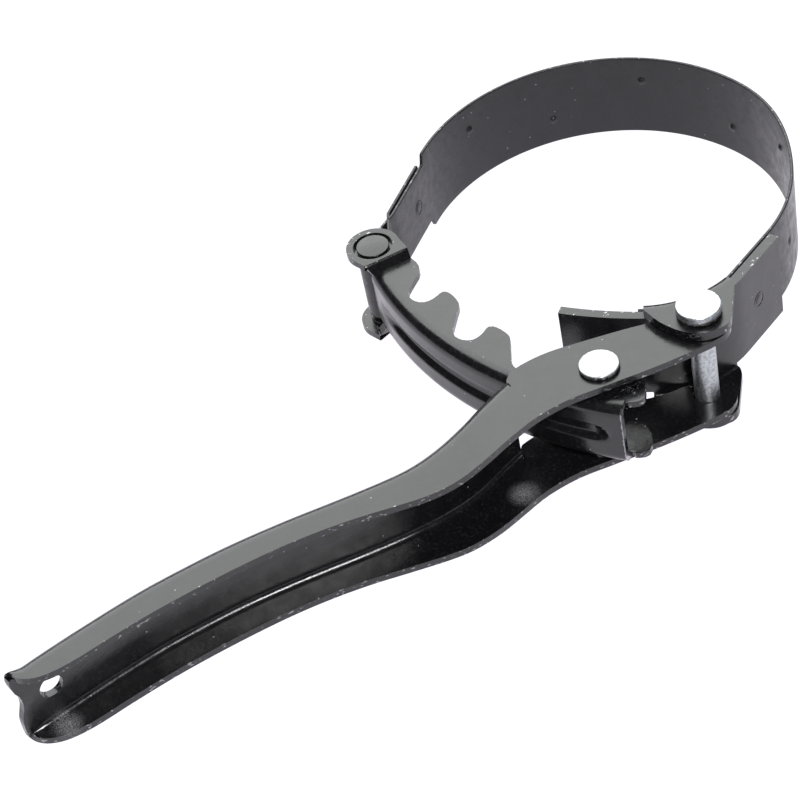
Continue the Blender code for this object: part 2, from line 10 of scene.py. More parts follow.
import bmesh
import bpy
from mathutils import Matrix, Vector
from mathutils.kdtree import KDTree


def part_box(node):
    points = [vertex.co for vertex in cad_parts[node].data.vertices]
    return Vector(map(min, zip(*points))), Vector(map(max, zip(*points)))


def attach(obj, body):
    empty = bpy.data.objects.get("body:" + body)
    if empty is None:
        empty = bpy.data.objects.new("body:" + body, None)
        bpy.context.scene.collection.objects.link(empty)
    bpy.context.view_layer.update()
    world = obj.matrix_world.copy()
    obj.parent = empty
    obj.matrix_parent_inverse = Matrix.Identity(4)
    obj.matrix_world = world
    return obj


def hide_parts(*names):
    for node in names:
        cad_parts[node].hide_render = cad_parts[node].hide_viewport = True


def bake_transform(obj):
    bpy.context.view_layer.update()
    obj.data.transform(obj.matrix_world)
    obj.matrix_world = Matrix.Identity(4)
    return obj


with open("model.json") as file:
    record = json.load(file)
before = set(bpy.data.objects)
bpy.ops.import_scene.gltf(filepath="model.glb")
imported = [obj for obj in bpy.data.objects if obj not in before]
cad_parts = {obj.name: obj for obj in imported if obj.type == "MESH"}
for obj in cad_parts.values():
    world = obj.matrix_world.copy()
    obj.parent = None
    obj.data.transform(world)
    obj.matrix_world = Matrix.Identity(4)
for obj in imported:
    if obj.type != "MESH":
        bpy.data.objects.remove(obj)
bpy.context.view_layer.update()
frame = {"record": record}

MM = 0.001


def joint_place(name):
    """Where a joint's axis stands in the frame, in millimetres."""
    for joint in frame["record"]["behaviour"]["joints"]:
        if joint["name"] == name:
            return Vector(joint["pos_m"]) / MM
    raise ValueError(name)


def node_middle(name):
    """Middle of a node's box in the frame, in millimetres."""
    low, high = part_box(name)
    return (Vector(low) + Vector(high)) / 2 / MM


PIVOT = joint_place("handle_swing")
HINGE_AT = (joint_place("rack_swing") - PIVOT).to_tuple()[:2]
LATCH_AT = (node_middle("latch_rivet") - PIVOT).to_tuple()[:2]

# ---- band --------------------------------------------------------------------------------------
BAND_CENTRE = (9.1, 64.2)
BAND_RADIUS = 50.6
BAND_THICK = 0.9
BAND_GAP = 0.3
BAND_CORNER = 0.3
LOOP_FLAT = 1.3
LOOP_FLAT_AT = -27.0
LOOP_FLAT_SPAN = 36.5
BAND_HALF = 12.5
TONGUE_ANGLE = 131.3
TONGUE_HALF = 9.5
TONGUE_STEP = 1.4
TONGUE_RUN = 22.0
EYE_RADIUS = 4.0
LAYER_PITCH = 1.3
FOLD_END = 2.0
TAIL_ANGLE = 296.5
LOOP_STEP = 1.6
# angle round the loop and height of each dimple
DIMPLES = ((107.0, 4.9), (77.0, -4.75), (47.5, 5.0), (16.0, -4.0), (-13.0, 4.75), (-51.0, 0.25))
DIMPLE_REACH = 1.25
DIMPLE_DEEP = 0.75
DIMPLE_STEP = 0.4
FINE_ROWS = 11
FINE_STEP = 0.36
COARSE_HEIGHTS = (-11.9, -10.0, -8.2, -2.0, -1.3, -0.6, 0.25, 1.1, 1.9, 8.2, 10.0, 11.9)
FINE_FROM = (-6.4, 2.9)

# ---- bracket -----------------------------------------------------------------------------------
PLATE_THICK = 2.5
SHOE_RADIUS = 24.9
SHOE_TURN = 63.5
TAIL_LENGTH = 17.8
TAIL_TRIM = 0.9
PAD_RADIUS = 100.0
PAD_LENGTH = 19.3
EAR_TOP = 16.1
EAR_FROM = 237.1
EAR_TO = 286.1
# edge of the bracket's ears in plan, round the pivot rivet
EAR_OUTLINE = ((-10.1, 7.5), (-9.8, 4.6), (-9.0, 1.4), (-7.8, -1.6), (-6.4, -3.9), (-4.8, -5.6),
               (-3.0, -6.9), (-1.0, -7.6), (2.8, -7.7), (4.2, -7.1), (5.4, -5.9), (12.0, 3.2),
               (12.7, 4.9))
EAR_BEND = 3.0

# ---- handle ------------------------------------------------------------------------------------
SHEET = 1.9
GRIP_HALF = 11.5
CHEEK_HALF = 13.3
FLARE_FROM = -84.0
FLARE_TO = -57.0
WEB_END = -48.5
WEB_CORNER = 1.2
BEND_RADIUS = 3.8
GRIP_END = -185.0
WAVE_REACH = 7.0
HEAD_END = 7.2
# (x, y) along the flanges' open edge and along the outside of the web
FRONT_EDGE = ((-185.0, -4.0), (-184.0, -6.2), (-181.6, -8.6), (-177.6, -10.1), (-171.0, -10.2),
              (-160.0, -8.6), (-148.0, -7.1), (-134.0, -6.2), (-119.0, -6.0), (-108.0, -6.7),
              (-98.0, -8.1), (-88.0, -10.2), (-80.0, -11.7), (-73.0, -12.0), (-65.0, -10.5),
              (-57.0, -8.0), (-49.0, -5.7), (-40.0, -4.9), (-30.0, -5.9), (-18.0, -7.3),
              (-7.0, -8.0), (1.4, -7.8), (4.6, -6.2), (6.6, -3.2), (7.2, -0.6))
BACK_EDGE = ((-185.0, -3.8), (-176.0, -1.8), (-164.0, 0.4), (-150.0, 2.5), (-138.0, 3.4),
             (-126.0, 3.7), (-112.0, 3.1), (-96.0, 1.7), (-84.0, 1.0), (-77.0, 1.3),
             (-70.0, 2.6), (-63.0, 4.9), (-57.0, 7.6), (-52.0, 9.7), (-47.0, 11.5),
             (-42.0, 12.5), (-35.0, 12.4), (-26.0, 10.6), (-16.0, 8.3), (-8.0, 6.2),
             (-1.0, 5.4), (3.4, 4.3), (6.4, 1.8), (7.2, 0.2))
GRIP_CORNER = 1.7
# height, and how far the web's end stands back from straight there
GRIP_END_WAVE = ((-12.0, -0.2), (-9.5, -0.5), (-6.5, -0.5), (-4.2, -0.3), (-1.7, 0.5), (0.3, 1.1),
                 (3.3, 1.0), (5.0, 0.3), (8.0, -0.2), (10.5, 0.2), (12.0, 0.5))
HANG_HOLE = 5.9
HANG_HOLE_X = -176.0
HANG_HOLE_HEIGHT = 0.3
FLANGE_COLUMNS = 7
BEND_COLUMNS = 7
WEB_COLUMNS = 8
# spots on the inside of the lower flange near the grip end and near the web end: a rougher rubbed
# finish, plus a lighter grey painted highlight standing in for the glow off the flange's curved places
RUB_AND_GLOW_SPOTS = ((-176.1, -7.6, -9.2), (-54.0, -3.2, -11.0))
RUB_AND_GLOW_REACH = 5.0

# ---- rack --------------------------------------------------------------------------------------
RACK_CENTRE = (46.0, 57.9)
RACK_RADIUS = 102.7
RACK_SHEET = 1.8
RACK_HALF = 9.5
BEND_IN = 3.5
BEND_DOWN = 3.0
RACK_START = 172.8
RACK_END = 222.6
NOTCH_FIRST = 184.3
NOTCH_PITCH = 12.0
NOTCHES = 4
FIRST_TOOTH = 91.2
# one tooth and its notch, then the rounded tip: radius from the rack's centre, degrees on from a notch
TOOTH_FORM = ((91.2, -0.5), (90.4, -0.45), (89.8, -0.1), (89.45, 0.6), (89.35, 1.6), (89.5, 2.6),
              (89.75, 3.4), (90.2, 4.0), (91.0, 4.55), (92.4, 5.3), (95.0, 6.7), (96.9, 7.7),
              (97.8, 8.4), (98.2, 9.1), (98.2, 9.8), (97.9, 10.5), (97.2, 11.2), (96.2, 11.7),
              (95.0, 11.9), (93.6, 11.9), (92.2, 11.7))
RACK_TIP = ((99.6, 2.9), (99.4, 3.6), (98.9, 4.3), (98.0, 4.8), (96.6, 4.95), (94.6, 4.7),
            (92.6, 4.25), (91.0, 3.5), (89.9, 2.6), (89.45, 1.7), (89.4, 0.8), (89.8, -0.05),
            (90.5, -0.4), (91.3, -0.5))
RACK_NECK = ((-45.3, 63.0), (-44.7, 64.6), (-44.6, 66.2), (-45.2, 70.9))
RACK_WEB_HALF = 5.9
GROOVE_FROM = 174.5
GROOVE_TO = 218.5
GROOVE_FADE = 7.0
GROOVE_HEIGHT = 0.5
GROOVE_DEEP = 1.5
# distances from the groove's middle line at which its wall starts and ends
GROOVE_UPPER_WALL = (1.5, 2.4)
GROOVE_LOWER_WALL = (1.3, 3.2)
EAR_HALF = 12.2
EAR_ROUND = 7.0
JOGGLE_AT = 69.9
JOGGLE = ((-1.6, 9.1), (-1.2, 9.8), (-0.4, 11.6), (-0.1, 12.05), (0.3, EAR_HALF))
EAR_SIDE = (-57.3, -45.0)

# ---- rivets ------------------------------------------------------------------------------------
RIVET_RADIUS = 3.15
HINGE_RADIUS = 3.2
RECESS_RADIUS = 5.2
RECESS_DEEP = 1.25
RECESS_FLOOR = EAR_HALF - RECESS_DEEP
PIVOT_HEAD = 5.6
LATCH_HEAD = 5.0
BORE_AIR = 0.25
BAND_RIVET_AT = 11.5
TONGUE_RIVET_AT = 8.0

# ---- sheet edges -------------------------------------------------------------------------------
RIM_ROUND = 0.32
RACK_RIM_ROUND = 0.26
EAR_RIM_ROUND = 0.24
RIM_REACH = 3.0
RIM_SAMPLE = 0.4
SHARP_ANGLE = 50.0
SMOOTH_ANGLE = 42.0
SUPPORT = 0.8
TOOL_REACH = 20.0

# ---- view --------------------------------------------------------------------------------------
VIEW_AZIMUTH = 18.0
VIEW_ELEVATION = 43.0
VIEW_ROLL = -12.598
VIEW_DISTANCE = 622.3
VIEW_TARGET = (-63.78, 45.43, -12.5)
VIEW_LENS = 109.7
FLOOR_HALF = 6.0
FLOOR_DROP = 0.0004

collection = bpy.data.collections.new("wrench_pieces")
bpy.context.scene.collection.children.link(collection)


# ---- plan geometry -----------------------------------------------------------------------------

def polar(centre, radius, angle):
    """Plan point at an angle in degrees round a centre."""
    return (centre[0] + radius * cos(radians(angle)), centre[1] + radius * sin(radians(angle)))


def along(point, angle, distance):
    """Plan point a distance on from another, heading at an angle in degrees."""
    return polar(point, distance, angle)


def spread(start, end, step):
    """Evenly spaced numbers from start to end, no further apart than step."""
    count = max(1, int(abs(end - start) / step + 0.999))
    return [start + (end - start) * i / count for i in range(count + 1)]


def smooth_step(value, low, high):
    """0 up to low, 1 from high on, with a soft rise between."""
    t = min(1.0, max(0.0, (value - low) / (high - low)))
    return t * t * (3 - 2 * t)


def curve_y(stations, x):
    """Height of the smooth curve through the stations at x."""
    last = len(stations) - 2
    i = 0
    while i < last and stations[i + 1][0] < x:
        i += 1
    x0, y0 = stations[i]
    x1, y1 = stations[i + 1]
    before = stations[max(i - 1, 0)]
    after = stations[min(i + 2, len(stations) - 1)]
    span = x1 - x0
    slope0 = (y1 - before[1]) / (x1 - before[0])
    slope1 = (after[1] - y0) / (after[0] - x0)
    t = (x - x0) / span
    return ((2 * t ** 3 - 3 * t ** 2 + 1) * y0 + (t ** 3 - 2 * t ** 2 + t) * span * slope0
            + (3 * t ** 2 - 2 * t ** 3) * y1 + (t ** 3 - t ** 2) * span * slope1)


# ---- mesh helpers ------------------------------------------------------------------------------

def link(name, body):
    """Object from a bmesh that is laid out in millimetres."""
    mesh = bpy.data.meshes.new(name)
    body.to_mesh(mesh)
    body.free()
    obj = bpy.data.objects.new(name, mesh)
    collection.objects.link(obj)
    return obj


def applied(obj):
    """The object with its modifiers applied to its mesh."""
    bpy.context.view_layer.update()
    evaluated = obj.evaluated_get(bpy.context.evaluated_depsgraph_get())
    mesh = bpy.data.meshes.new_from_object(evaluated)
    obj.modifiers.clear()
    obj.data = mesh
    return obj


def thicken(obj, thickness):
    """Give a surface its sheet thickness on the side away from its normals."""
    solid = obj.modifiers.new("sheet", "SOLIDIFY")
    solid.thickness = thickness
    solid.offset = -1.0
    solid.use_even_offset = True
    return applied(obj)


def round_rims(obj, width=RIM_ROUND):
    """Round the sheared edges."""
    bevel = obj.modifiers.new("rims", "BEVEL")
    bevel.width = width
    bevel.segments = 3
    bevel.limit_method = "ANGLE"
    bevel.angle_limit = radians(SHARP_ANGLE)
    bevel.use_clamp_overlap = True
    bevel.miter_outer = "MITER_ARC"
    return applied(obj)


def cut(obj, tool, self_crossing=False):
    """Take the tool's shape out of an object, and the tool out of the scene."""
    modifier = obj.modifiers.new("cut", "BOOLEAN")
    modifier.operation = "DIFFERENCE"
    modifier.object = tool
    modifier.solver = "EXACT"
    modifier.use_self = self_crossing
    applied(obj)
    bpy.data.objects.remove(tool, do_unlink=True)
    return obj


def join(name, objects):
    """One mesh object from several."""
    body = bmesh.new()
    for obj in objects:
        body.from_mesh(obj.data)
        bpy.data.objects.remove(obj, do_unlink=True)
    return link(name, body)


def sharp_edge_points(obj):
    """Points along the sheet's sheared edges, for measuring how near a vertex is to one."""
    body = bmesh.new()
    body.from_mesh(obj.data)
    points = []
    for edge in body.edges:
        if len(edge.link_faces) == 2 and edge.calc_face_angle(0.0) > radians(SHARP_ANGLE):
            a, b = (vert.co for vert in edge.verts)
            count = max(1, int((b - a).length / RIM_SAMPLE))
            points += [a.lerp(b, i / count) for i in range(count + 1)]
    body.free()
    return points


def store_wear(obj, rim_points, worn_at=()):
    """Save, for the finishes, each vertex's rest place, its distance from a sheared edge, and how
    worn it is."""
    tree = KDTree(len(rim_points))
    for i, point in enumerate(rim_points):
        tree.insert(point, i)
    tree.balance()
    mesh = obj.data
    mesh.attributes.new("rest_mm", "FLOAT_VECTOR", "POINT")
    mesh.attributes.new("rim_mm", "FLOAT", "POINT")
    mesh.attributes.new("worn", "FLOAT", "POINT")
    rest = mesh.attributes["rest_mm"]
    rim = mesh.attributes["rim_mm"]
    worn = mesh.attributes["worn"]
    for i, vert in enumerate(mesh.vertices):
        rest.data[i].vector = vert.co
        nearest = tree.find(vert.co)[2] if rim_points else RIM_REACH
        rim.data[i].value = min(RIM_REACH, nearest)
        amount = 0.0
        for x, y, z, reach in worn_at:
            distance = (vert.co - Vector((x, y, z))).length / reach
            amount = max(amount, exp(-distance * distance))
        worn.data[i].value = amount


def place(obj, body_name, material, nodes):
    """Move a piece from millimetres into the frame, finish it and hand it to its body."""
    obj.data.transform(Matrix.Scale(MM, 4) @ Matrix.Translation(PIVOT))
    obj.data.materials.clear()
    obj.data.materials.append(material)
    obj.data.shade_smooth()
    obj.data.set_sharp_from_angle(angle=radians(SMOOTH_ANGLE))
    weighted = obj.modifiers.new("even_shading", "WEIGHTED_NORMAL")
    weighted.keep_sharp = True
    if body_name:
        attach(obj, body_name)
    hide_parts(*nodes)


def grid_faces(body, rows, wanted=None):
    """Quads between neighbouring rows; wanted(i, j) may leave some out."""
    for i, (row0, row1) in enumerate(zip(rows, rows[1:])):
        for j in range(min(len(row0), len(row1)) - 1):
            if wanted is None or wanted(i, j):
                body.faces.new((row0[j], row1[j], row1[j + 1], row0[j + 1]))


def lathe(name, profile, segments=72):
    """Solid of revolution about Z from (radius, height) points, closed on the axis at both ends."""
    body = bmesh.new()
    rings = []
    for radius, height in profile:
        if radius == 0.0:
            rings.append([body.verts.new((0.0, 0.0, height))])
        else:
            rings.append([body.verts.new((*polar((0.0, 0.0), radius, 360.0 * k / segments), height))
                          for k in range(segments)])
    for ring0, ring1 in zip(rings, rings[1:]):
        for k in range(segments):
            corners = [ring0[k % len(ring0)], ring0[(k + 1) % len(ring0)],
                       ring1[(k + 1) % len(ring1)], ring1[k % len(ring1)]]
            body.faces.new(list(dict.fromkeys(corners)))
    bmesh.ops.recalc_face_normals(body, faces=body.faces)
    return link(name, body)


def rounded(radius, low, high, corner):
    """Lathe profile over the rounded upper corner of a disc and down its side."""
    points = []
    for angle in spread(0.0, 90.0, 18.0)[::-1]:
        points.append((radius - corner + corner * cos(radians(angle)),
                       high - corner + corner * sin(radians(angle))))
    return points + [(radius, low)]


def both_ends(half):
    """Lathe profile from the upper end down to its mirror image at the lower end."""
    return half + [(radius, -height) for radius, height in reversed(half)]


def drill(obj, radius, placement, self_crossing=False):
    """Cut a round hole right through, along the placement's Z."""
    profile = [(0.0, -TOOL_REACH), (radius, -TOOL_REACH), (radius, TOOL_REACH), (0.0, TOOL_REACH)]
    bore = lathe("bore", profile)
    bore.data.transform(placement)
    return cut(obj, bore, self_crossing)


# ---- band --------------------------------------------------------------------------------------

def loop_point(angle):
    """Plan point on the strip's middle line, which is a little flattened on one side."""
    away = max(0.0, 1.0 - abs(angle - LOOP_FLAT_AT) / LOOP_FLAT_SPAN)
    radius = BAND_RADIUS - LOOP_FLAT * away * away * (3.0 - 2.0 * away)
    return polar(BAND_CENTRE, radius, angle)


def tangent_to_eye(point, side):
    """Angle on the hinge eye at which a line from the point touches it."""
    dx = point[0] - HINGE_AT[0]
    dy = point[1] - HINGE_AT[1]
    opening = pi / 2 - asin(EYE_RADIUS / hypot(dx, dy))
    return degrees(atan2(dy, dx) + side * opening)


def shoe_arc():
    """Centre and end angles of the plate's arc behind the ears."""
    tail_start = polar(BAND_CENTRE, BAND_RADIUS + BAND_THICK / 2 + BAND_GAP, TAIL_ANGLE)
    corner = along(tail_start, TAIL_ANGLE - 90.0, TAIL_LENGTH)
    centre = along(corner, TAIL_ANGLE + 180.0, SHOE_RADIUS)
    return centre, TAIL_ANGLE, TAIL_ANGLE - SHOE_TURN


def band_path():
    """Plan stations (x, y, half width) from behind the ears round the loop to the folded end."""
    centre, tail, pad = shoe_arc()
    radius = SHOE_RADIUS - BAND_GAP - BAND_THICK / 2
    stations = [(*polar(centre, radius, a), BAND_HALF) for a in spread(pad, tail, 3.0)]
    corner = stations[-1][:2]
    angles = spread(TAIL_ANGLE - 360.0, TONGUE_ANGLE, LOOP_STEP)
    for dimple in DIMPLES:
        angles += [dimple[0] + step * DIMPLE_STEP for step in range(-5, 6)]
    angles = sorted(a for a in angles if a <= TONGUE_ANGLE)
    loop_start = loop_point(angles[0])
    for share in (0.25, 0.5, 0.75):
        stations.append((corner[0] + (loop_start[0] - corner[0]) * share,
                         corner[1] + (loop_start[1] - corner[1]) * share, BAND_HALF))
    last = None
    for angle in angles:
        if last is None or angle - last > 0.15:
            stations.append((*loop_point(angle), BAND_HALF))
            last = angle
    start = polar(BAND_CENTRE, BAND_RADIUS, TONGUE_ANGLE)
    heading = TONGUE_ANGLE + 90.0
    parting = along(start, heading, TONGUE_RUN)
    for share in (0.2, 0.5, 0.8, 1.0):
        narrow = BAND_HALF + (TONGUE_HALF - BAND_HALF) * smooth_step(share, 0.0, 1.0)
        stations.append((*along(start, heading, TONGUE_STEP * share + 0.2), narrow))
    for distance in spread(3.0, TONGUE_RUN, 2.0):
        stations.append((*along(start, heading, distance), TONGUE_HALF))
    inner = tangent_to_eye(parting, 1)
    parting_back = along(parting, TONGUE_ANGLE, LAYER_PITCH)
    outer = tangent_to_eye(parting_back, -1)
    while outer < inner:
        outer += 360.0
    stations += [(*polar(HINGE_AT, EYE_RADIUS, a), TONGUE_HALF) for a in spread(inner, outer, 8.0)]
    for distance in spread(TONGUE_RUN, FOLD_END, 2.0):
        stations.append((*along(along(start, heading, distance), TONGUE_ANGLE, LAYER_PITCH),
                         TONGUE_HALF))
    return stations


def band_heights(half):
    """Heights across the strip, closer together where the dimples are pressed."""
    share = half / BAND_HALF
    fine = [start + FINE_STEP * i for start in FINE_FROM for i in range(FINE_ROWS)]
    return [height * share for height in sorted([*COARSE_HEIGHTS, *fine])]


def dimple_depth(x, y, z):
    """How far the strip is pressed towards the filter at a point of the loop."""
    depth = 0.0
    for angle, height in DIMPLES:
        at_x, at_y = loop_point(angle)
        distance = (Vector((x - at_x, y - at_y, z - height))).length / DIMPLE_REACH
        if distance < 1.0:
            depth = max(depth, DIMPLE_DEEP * (1.0 - distance * distance) ** 1.5)
    return depth


def strip_section(half):
    """Closed (outward, height) section of the strip, with four rounded corners."""
    heights = band_heights(half)

    def corner(out_side, z_side, turns):
        flat = BAND_THICK / 2 - BAND_CORNER
        return [(out_side * (flat + BAND_CORNER * cos(radians(turn))),
                 z_side * (half - BAND_CORNER + BAND_CORNER * sin(radians(turn))))
                for turn in turns]

    rising = (25.0, 50.0, 90.0)
    falling = rising[::-1]
    outer = [(BAND_THICK / 2, z) for z in heights]
    inner = [(-BAND_THICK / 2, z) for z in reversed(heights)]
    return (outer + corner(1, 1, rising) + corner(-1, 1, falling)
            + inner + corner(-1, -1, rising) + corner(1, -1, falling))


def make_band():
    stations = band_path()
    body = bmesh.new()
    rings = []
    for i, (x, y, half) in enumerate(stations):
        x0, y0 = stations[max(i - 1, 0)][:2]
        x1, y1 = stations[min(i + 1, len(stations) - 1)][:2]
        length = hypot(x1 - x0, y1 - y0)
        out_x, out_y = (y1 - y0) / length, -(x1 - x0) / length
        ring = []
        for out, z in strip_section(half):
            out -= dimple_depth(x, y, z)
            ring.append(body.verts.new((x + out_x * out, y + out_y * out, z)))
        rings.append(ring)
    for ring0, ring1 in zip(rings, rings[1:]):
        for k in range(len(ring0)):
            after = (k + 1) % len(ring0)
            body.faces.new((ring0[k], ring1[k], ring1[after], ring0[after]))
    body.faces.new(rings[0])
    body.faces.new(reversed(rings[-1]))
    bmesh.ops.recalc_face_normals(body, faces=body.faces)
    rim_points = [Vector((x, y, side * half)) for x, y, half in stations for side in (-1, 1)]
    band = link("band", body)
    store_wear(band, rim_points)
    place(band, None, spring_steel, ("band_fixed_half", "band_free_half"))
    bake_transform(band)


# ---- bracket -----------------------------------------------------------------------------------

def outline_point(outline, share):
    """Point a share of the way along an open outline."""
    lengths = [hypot(b[0] - a[0], b[1] - a[1]) for a, b in zip(outline, outline[1:])]
    wanted = share * sum(lengths)
    for a, b, length in zip(outline, outline[1:], lengths):
        if wanted <= length + 1e-9:
            t = wanted / length
            return (a[0] + (b[0] - a[0]) * t, a[1] + (b[1] - a[1]) * t)
        wanted -= length
    return outline[-1]


def bracket_columns():
    """Plan points of the plate's filter-side face, each with its outward direction in degrees and
    whether an ear rises from it."""
    tail_start = polar(BAND_CENTRE, BAND_RADIUS + BAND_THICK / 2 + BAND_GAP, TAIL_ANGLE)
    centre, _, pad = shoe_arc()
    columns = []
    for distance in spread(TAIL_TRIM, TAIL_LENGTH, 3.0):
        columns.append((along(tail_start, TAIL_ANGLE - 90.0, distance), TAIL_ANGLE, False))
    for angle in spread(TAIL_ANGLE - 3.0, EAR_TO + 2.0, 3.0):
        columns.append((polar(centre, SHOE_RADIUS, angle), angle, False))
    for angle in spread(EAR_TO, EAR_FROM, 1.5):
        columns.append((polar(centre, SHOE_RADIUS, angle), angle, True))
    pad_centre = along(centre, pad, SHOE_RADIUS - PAD_RADIUS)
    for distance in spread(0.0, PAD_LENGTH, 2.0):
        angle = pad - degrees(distance / PAD_RADIUS)
        columns.append((polar(pad_centre, PAD_RADIUS, angle), angle, False))
    return columns


def bracket_rise(point, outward, edge):
    """One column of an ear above the plate: up the bend and out to the ear's edge."""
    rise = [(*point, EAR_TOP - EAR_BEND)]
    for turn in spread(15.0, 90.0, 15.0):
        foot = along(point, outward, EAR_BEND * (1 - cos(radians(turn))))
        rise.append((*foot, EAR_TOP - EAR_BEND + EAR_BEND * sin(radians(turn))))
    foot = along(point, outward, EAR_BEND)
    reach = hypot(edge[0] - foot[0], edge[1] - foot[1])
    near_edge = max(0.75, 1.0 - SUPPORT / max(reach, SUPPORT))
    for share in (0.25, 0.5, near_edge, 1.0):
        rise.append((foot[0] + (edge[0] - foot[0]) * share, foot[1] + (edge[1] - foot[1]) * share,
                     EAR_TOP))
    return rise


def make_bracket():
    columns = bracket_columns()
    ears = [i for i, column in enumerate(columns) if column[2]]
    first, last = (along(*columns[i][:2], EAR_BEND + BAND_GAP) for i in (ears[0], ears[-1]))
    edge_line = [first, *EAR_OUTLINE[::-1], last]
    flat = [0.0, 4.0, 8.0, BAND_HALF - SUPPORT, BAND_HALF]
    body = bmesh.new()
    for side in (1, -1):
        rows = []
        for i, (point, outward, has_ear) in enumerate(columns):
            heights = [(*point, z) for z in flat]
            if has_ear:
                share = (i - ears[0]) / (len(ears) - 1)
                heights += bracket_rise(point, outward, outline_point(edge_line, share))
            rows.append([body.verts.new((x, y, side * z)) for x, y, z in heights])
        grid_faces(body, rows)
    bmesh.ops.remove_doubles(body, verts=body.verts, dist=0.001)
    bmesh.ops.recalc_face_normals(body, faces=body.faces)
    middle = min(body.faces, key=lambda face: face.calc_center_median().length)
    if middle.normal.dot(middle.calc_center_median()) < 0:
        bmesh.ops.reverse_faces(body, faces=body.faces)
    bracket = thicken(link("bracket_shell", body), PLATE_THICK)
    drill(bracket, RIVET_RADIUS + BORE_AIR, Matrix.Identity(4), self_crossing=True)
    rim_points = sharp_edge_points(bracket)
    round_rims(bracket)
    bracket.name = "bracket_plate"
    store_wear(bracket, rim_points)
    place(bracket, "root", enamel, ("bracket",))


# ---- handle ------------------------------------------------------------------------------------

def handle_stations():
    """Where the channel's sections stand along X, closer together where it turns."""
    stations = [GRIP_END + 12.0 * (1 - cos(radians(a))) for a in spread(0.0, 90.0, 6.0)]
    stations += spread(-171.0, WEB_END, 2.2)
    stations += spread(WEB_END + 0.3, 0.0, 1.9)
    stations += [HEAD_END * sin(radians(a)) for a in spread(9.0, 90.0, 7.5)]
    return stations


def handle_section(x):
    """Outer profile of the top half at x: flange edge, bend and the web down to mid height."""
    half = GRIP_HALF + (CHEEK_HALF - GRIP_HALF) * smooth_step(x, FLARE_FROM, FLARE_TO)
    from_end = max(0.0, 1.0 - (x - GRIP_END) / GRIP_CORNER)
    half -= GRIP_CORNER * (1.0 - sqrt(1.0 - from_end * from_end))
    front = curve_y(FRONT_EDGE, x)
    back = curve_y(BACK_EDGE, x)
    bend = min(BEND_RADIUS, (back - front) * 0.6)
    flat = back - bend - front
    points = [(front, half), (front + min(SUPPORT, flat * 0.3), half)]
    for k in range(2, FLANGE_COLUMNS + 1):
        points.append((front + flat * (0.3 + 0.7 * (k - 1) / (FLANGE_COLUMNS - 1)), half))
    for k in range(1, BEND_COLUMNS + 1):
        share = k / BEND_COLUMNS
        if x > WEB_END:
            grown = smooth_step(x, WEB_END - 1.0, WEB_END + WEB_CORNER)
            points.append((back - bend + bend * grown * share, half))
        else:
            angle = pi / 2 * share
            points.append((back - bend + bend * sin(angle), half - bend + bend * cos(angle)))
    for k in range(1, WEB_COLUMNS + 1):
        points.append((back, (half - bend) * (1 - k / WEB_COLUMNS)))
    return points


def end_wave(x, z):
    """Shift along X of the worn, uneven end of the web."""
    return curve_y(GRIP_END_WAVE, z) * (1.0 - smooth_step(x, GRIP_END, GRIP_END + WAVE_REACH))


def make_handle():
    stations = handle_stations()
    body = bmesh.new()
    rows = []
    for x in stations:
        top = handle_section(x)
        section = top + [(y, -z) for y, z in reversed(top[:-1])]
        rows.append([body.verts.new((x + end_wave(x, z), y, z)) for y, z in section])
    edge_columns = FLANGE_COLUMNS + BEND_COLUMNS
    total = 2 * (edge_columns + WEB_COLUMNS)

    def wanted(i, j):
        from_edge = min(j, total - 1 - j)
        if stations[i + 1] <= WEB_END + 0.01:
            return True
        if stations[i] < WEB_END + 0.01:
            return from_edge < FLANGE_COLUMNS
        return from_edge < edge_columns

    grid_faces(body, rows, wanted)
    loose = [vert for vert in body.verts if not vert.link_faces]
    bmesh.ops.delete(body, geom=loose, context="VERTS")
    bmesh.ops.remove_doubles(body, verts=body.verts, dist=0.01)
    handle = thicken(link("handle_channel", body), SHEET)
    for x, y in ((0.0, 0.0), LATCH_AT):
        drill(handle, RIVET_RADIUS + BORE_AIR, Matrix.Translation((x, y, 0.0)))
    across = Matrix.Translation((HANG_HOLE_X, 0.0, HANG_HOLE_HEIGHT)) @ Matrix.Rotation(pi / 2, 4, "X")
    drill(handle, HANG_HOLE / 2, across)
    rim_points = sharp_edge_points(handle)
    round_rims(handle)
    store_wear(handle, rim_points)
    place(handle, "handle_lever", enamel, ("handle",))


# ---- rack --------------------------------------------------------------------------------------

def groove_depth(angle, z):
    """Depth of the long rounded groove pressed into the web."""
    past = radians(max(0.0, angle - GROOVE_TO)) * RACK_RADIUS
    off = z - GROOVE_HEIGHT
    distance = hypot(past, off)
    wall = GROOVE_UPPER_WALL if off > 0 else GROOVE_LOWER_WALL
    depth = GROOVE_DEEP * (1.0 - smooth_step(distance, *wall))
    return depth * smooth_step(angle, GROOVE_FROM, GROOVE_FROM + GROOVE_FADE)


def rack_section():
    """Height and inset of the profile from the upper bend's start round to the lower one's."""
    top = []
    for turn in spread(0.0, 90.0, 11.25):
        top.append((BEND_IN * (1 - sin(radians(turn))),
                    RACK_HALF - BEND_DOWN * (1 - cos(radians(turn)))))
    heights = spread(RACK_WEB_HALF, -RACK_WEB_HALF, FINE_STEP)
    return top + [(0.0, z) for z in heights] + [(inset, -z) for inset, z in reversed(top)]


def tooth_line():
    """Inner edge of a flange from the rounded tip back to the step below the ears."""
    last = NOTCH_FIRST + (NOTCHES - 1) * NOTCH_PITCH
    points = [polar(RACK_CENTRE, r, last + a) for r, a in RACK_TIP]
    for k in reversed(range(NOTCHES)):
        base = NOTCH_FIRST + (k - 1) * NOTCH_PITCH
        for radius, turn in reversed(TOOTH_FORM):
            if k > 0 or radius > FIRST_TOOTH:
                points.append(polar(RACK_CENTRE, radius, base + turn))
    return points + list(RACK_NECK)


